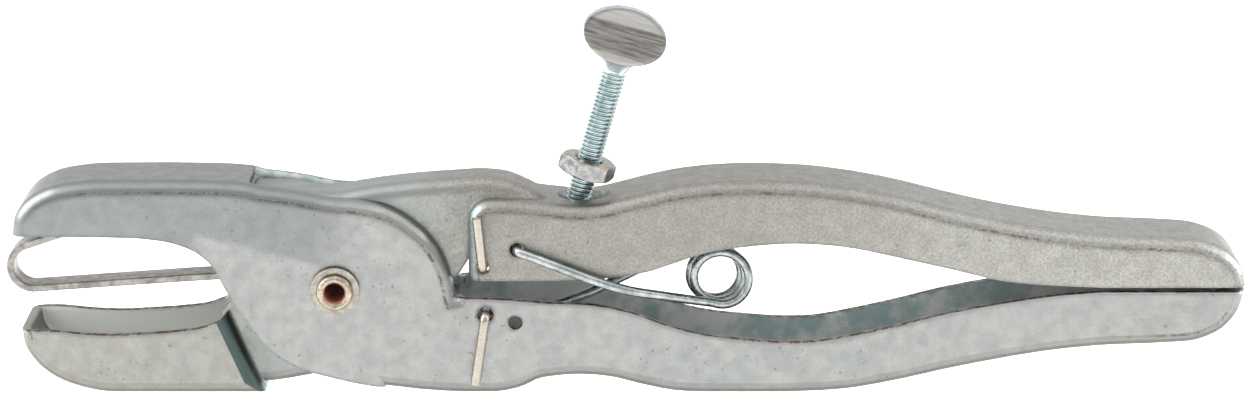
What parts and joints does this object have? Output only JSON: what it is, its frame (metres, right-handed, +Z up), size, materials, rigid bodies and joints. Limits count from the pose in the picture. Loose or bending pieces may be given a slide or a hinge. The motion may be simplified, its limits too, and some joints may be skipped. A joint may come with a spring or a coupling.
{
  "type": "welding ground clamp",
  "caption": "Spring-closed plier-type ground clamp of pressed steel, with a hairpin contact strip in the jaws and a thumb screw terminal for the cable lug.",
  "frame": {"origin": "middle of the bounding box, on the surface that the clamp stands on", "axes": "+X from the jaws towards the handles, +Y along the pivot towards the rear, +Z up, from the lower jaw towards the upper jaw"},
  "size_m": [0.2304, 0.0216, 0.0726],
  "materials": {
    "bright_zinc_plate": "bright zinc plated, slightly mottled",
    "grainy_zinc_plate": "zinc plated, dull and grainy",
    "brass_plated_rivet": "tarnished",
    "strip_steel": "plated strip",
    "spring_wire": "drawn wire",
    "blue_zinc_screw": "blue zinc plated",
    "blue_zinc_nut": "blue zinc plated"
  },
  "bodies": {
    "outer": {"outer_lever": "bright_zinc_plate", "pivot_rivet": "brass_plated_rivet", "pivot_sleeve": "bright_zinc_plate", "pivot_spacer_front": "bright_zinc_plate", "pivot_spacer_rear": "bright_zinc_plate", "rivet_washer_front": "bright_zinc_plate", "rivet_washer_rear": "bright_zinc_plate", "contact_strip": "strip_steel", "torsion_spring": "spring_wire"},
    "inner": {"inner_lever": "grainy_zinc_plate"},
    "post": {"terminal_washer": "blue_zinc_nut"},
    "screw": {"thumb_screw": "blue_zinc_screw"},
    "nut": {"terminal_nut": "blue_zinc_nut"}
  },
  "joints": [
    {"name": "jaw_pivot", "type": "hinge", "parent": "outer", "child": "inner", "pos_m": [-0.05359, 0, 0.0205], "axis": [0, -1, 0], "range_deg": [0, 25], "stiffness_Nm_per_rad": 0.9, "springref_deg": -34.38, "deforming": ["torsion_spring"]},
    {"name": "terminal_lean", "type": "hinge", "parent": "inner", "child": "post", "pos_m": [-0.00959, 0, 0.0327], "axis": [0, 1, 0], "range_deg": [-20, 0]},
    {"name": "screw_turn", "type": "hinge", "parent": "post", "child": "screw", "pos_m": [-0.00959, 0, 0.0327], "axis": [-0.2723, 0, -0.9622], "range_deg": [-720, 6480]},
    {"name": "nut_travel", "type": "slide", "parent": "post", "child": "nut", "axis": [0.2723, 0, 0.9622], "range_m": [-0.00158, 0.0142]}
  ],
  "couplings": [
    {"joint": "screw_turn", "follows": "nut_travel", "rad_per_m": 7913.3}
  ]
}
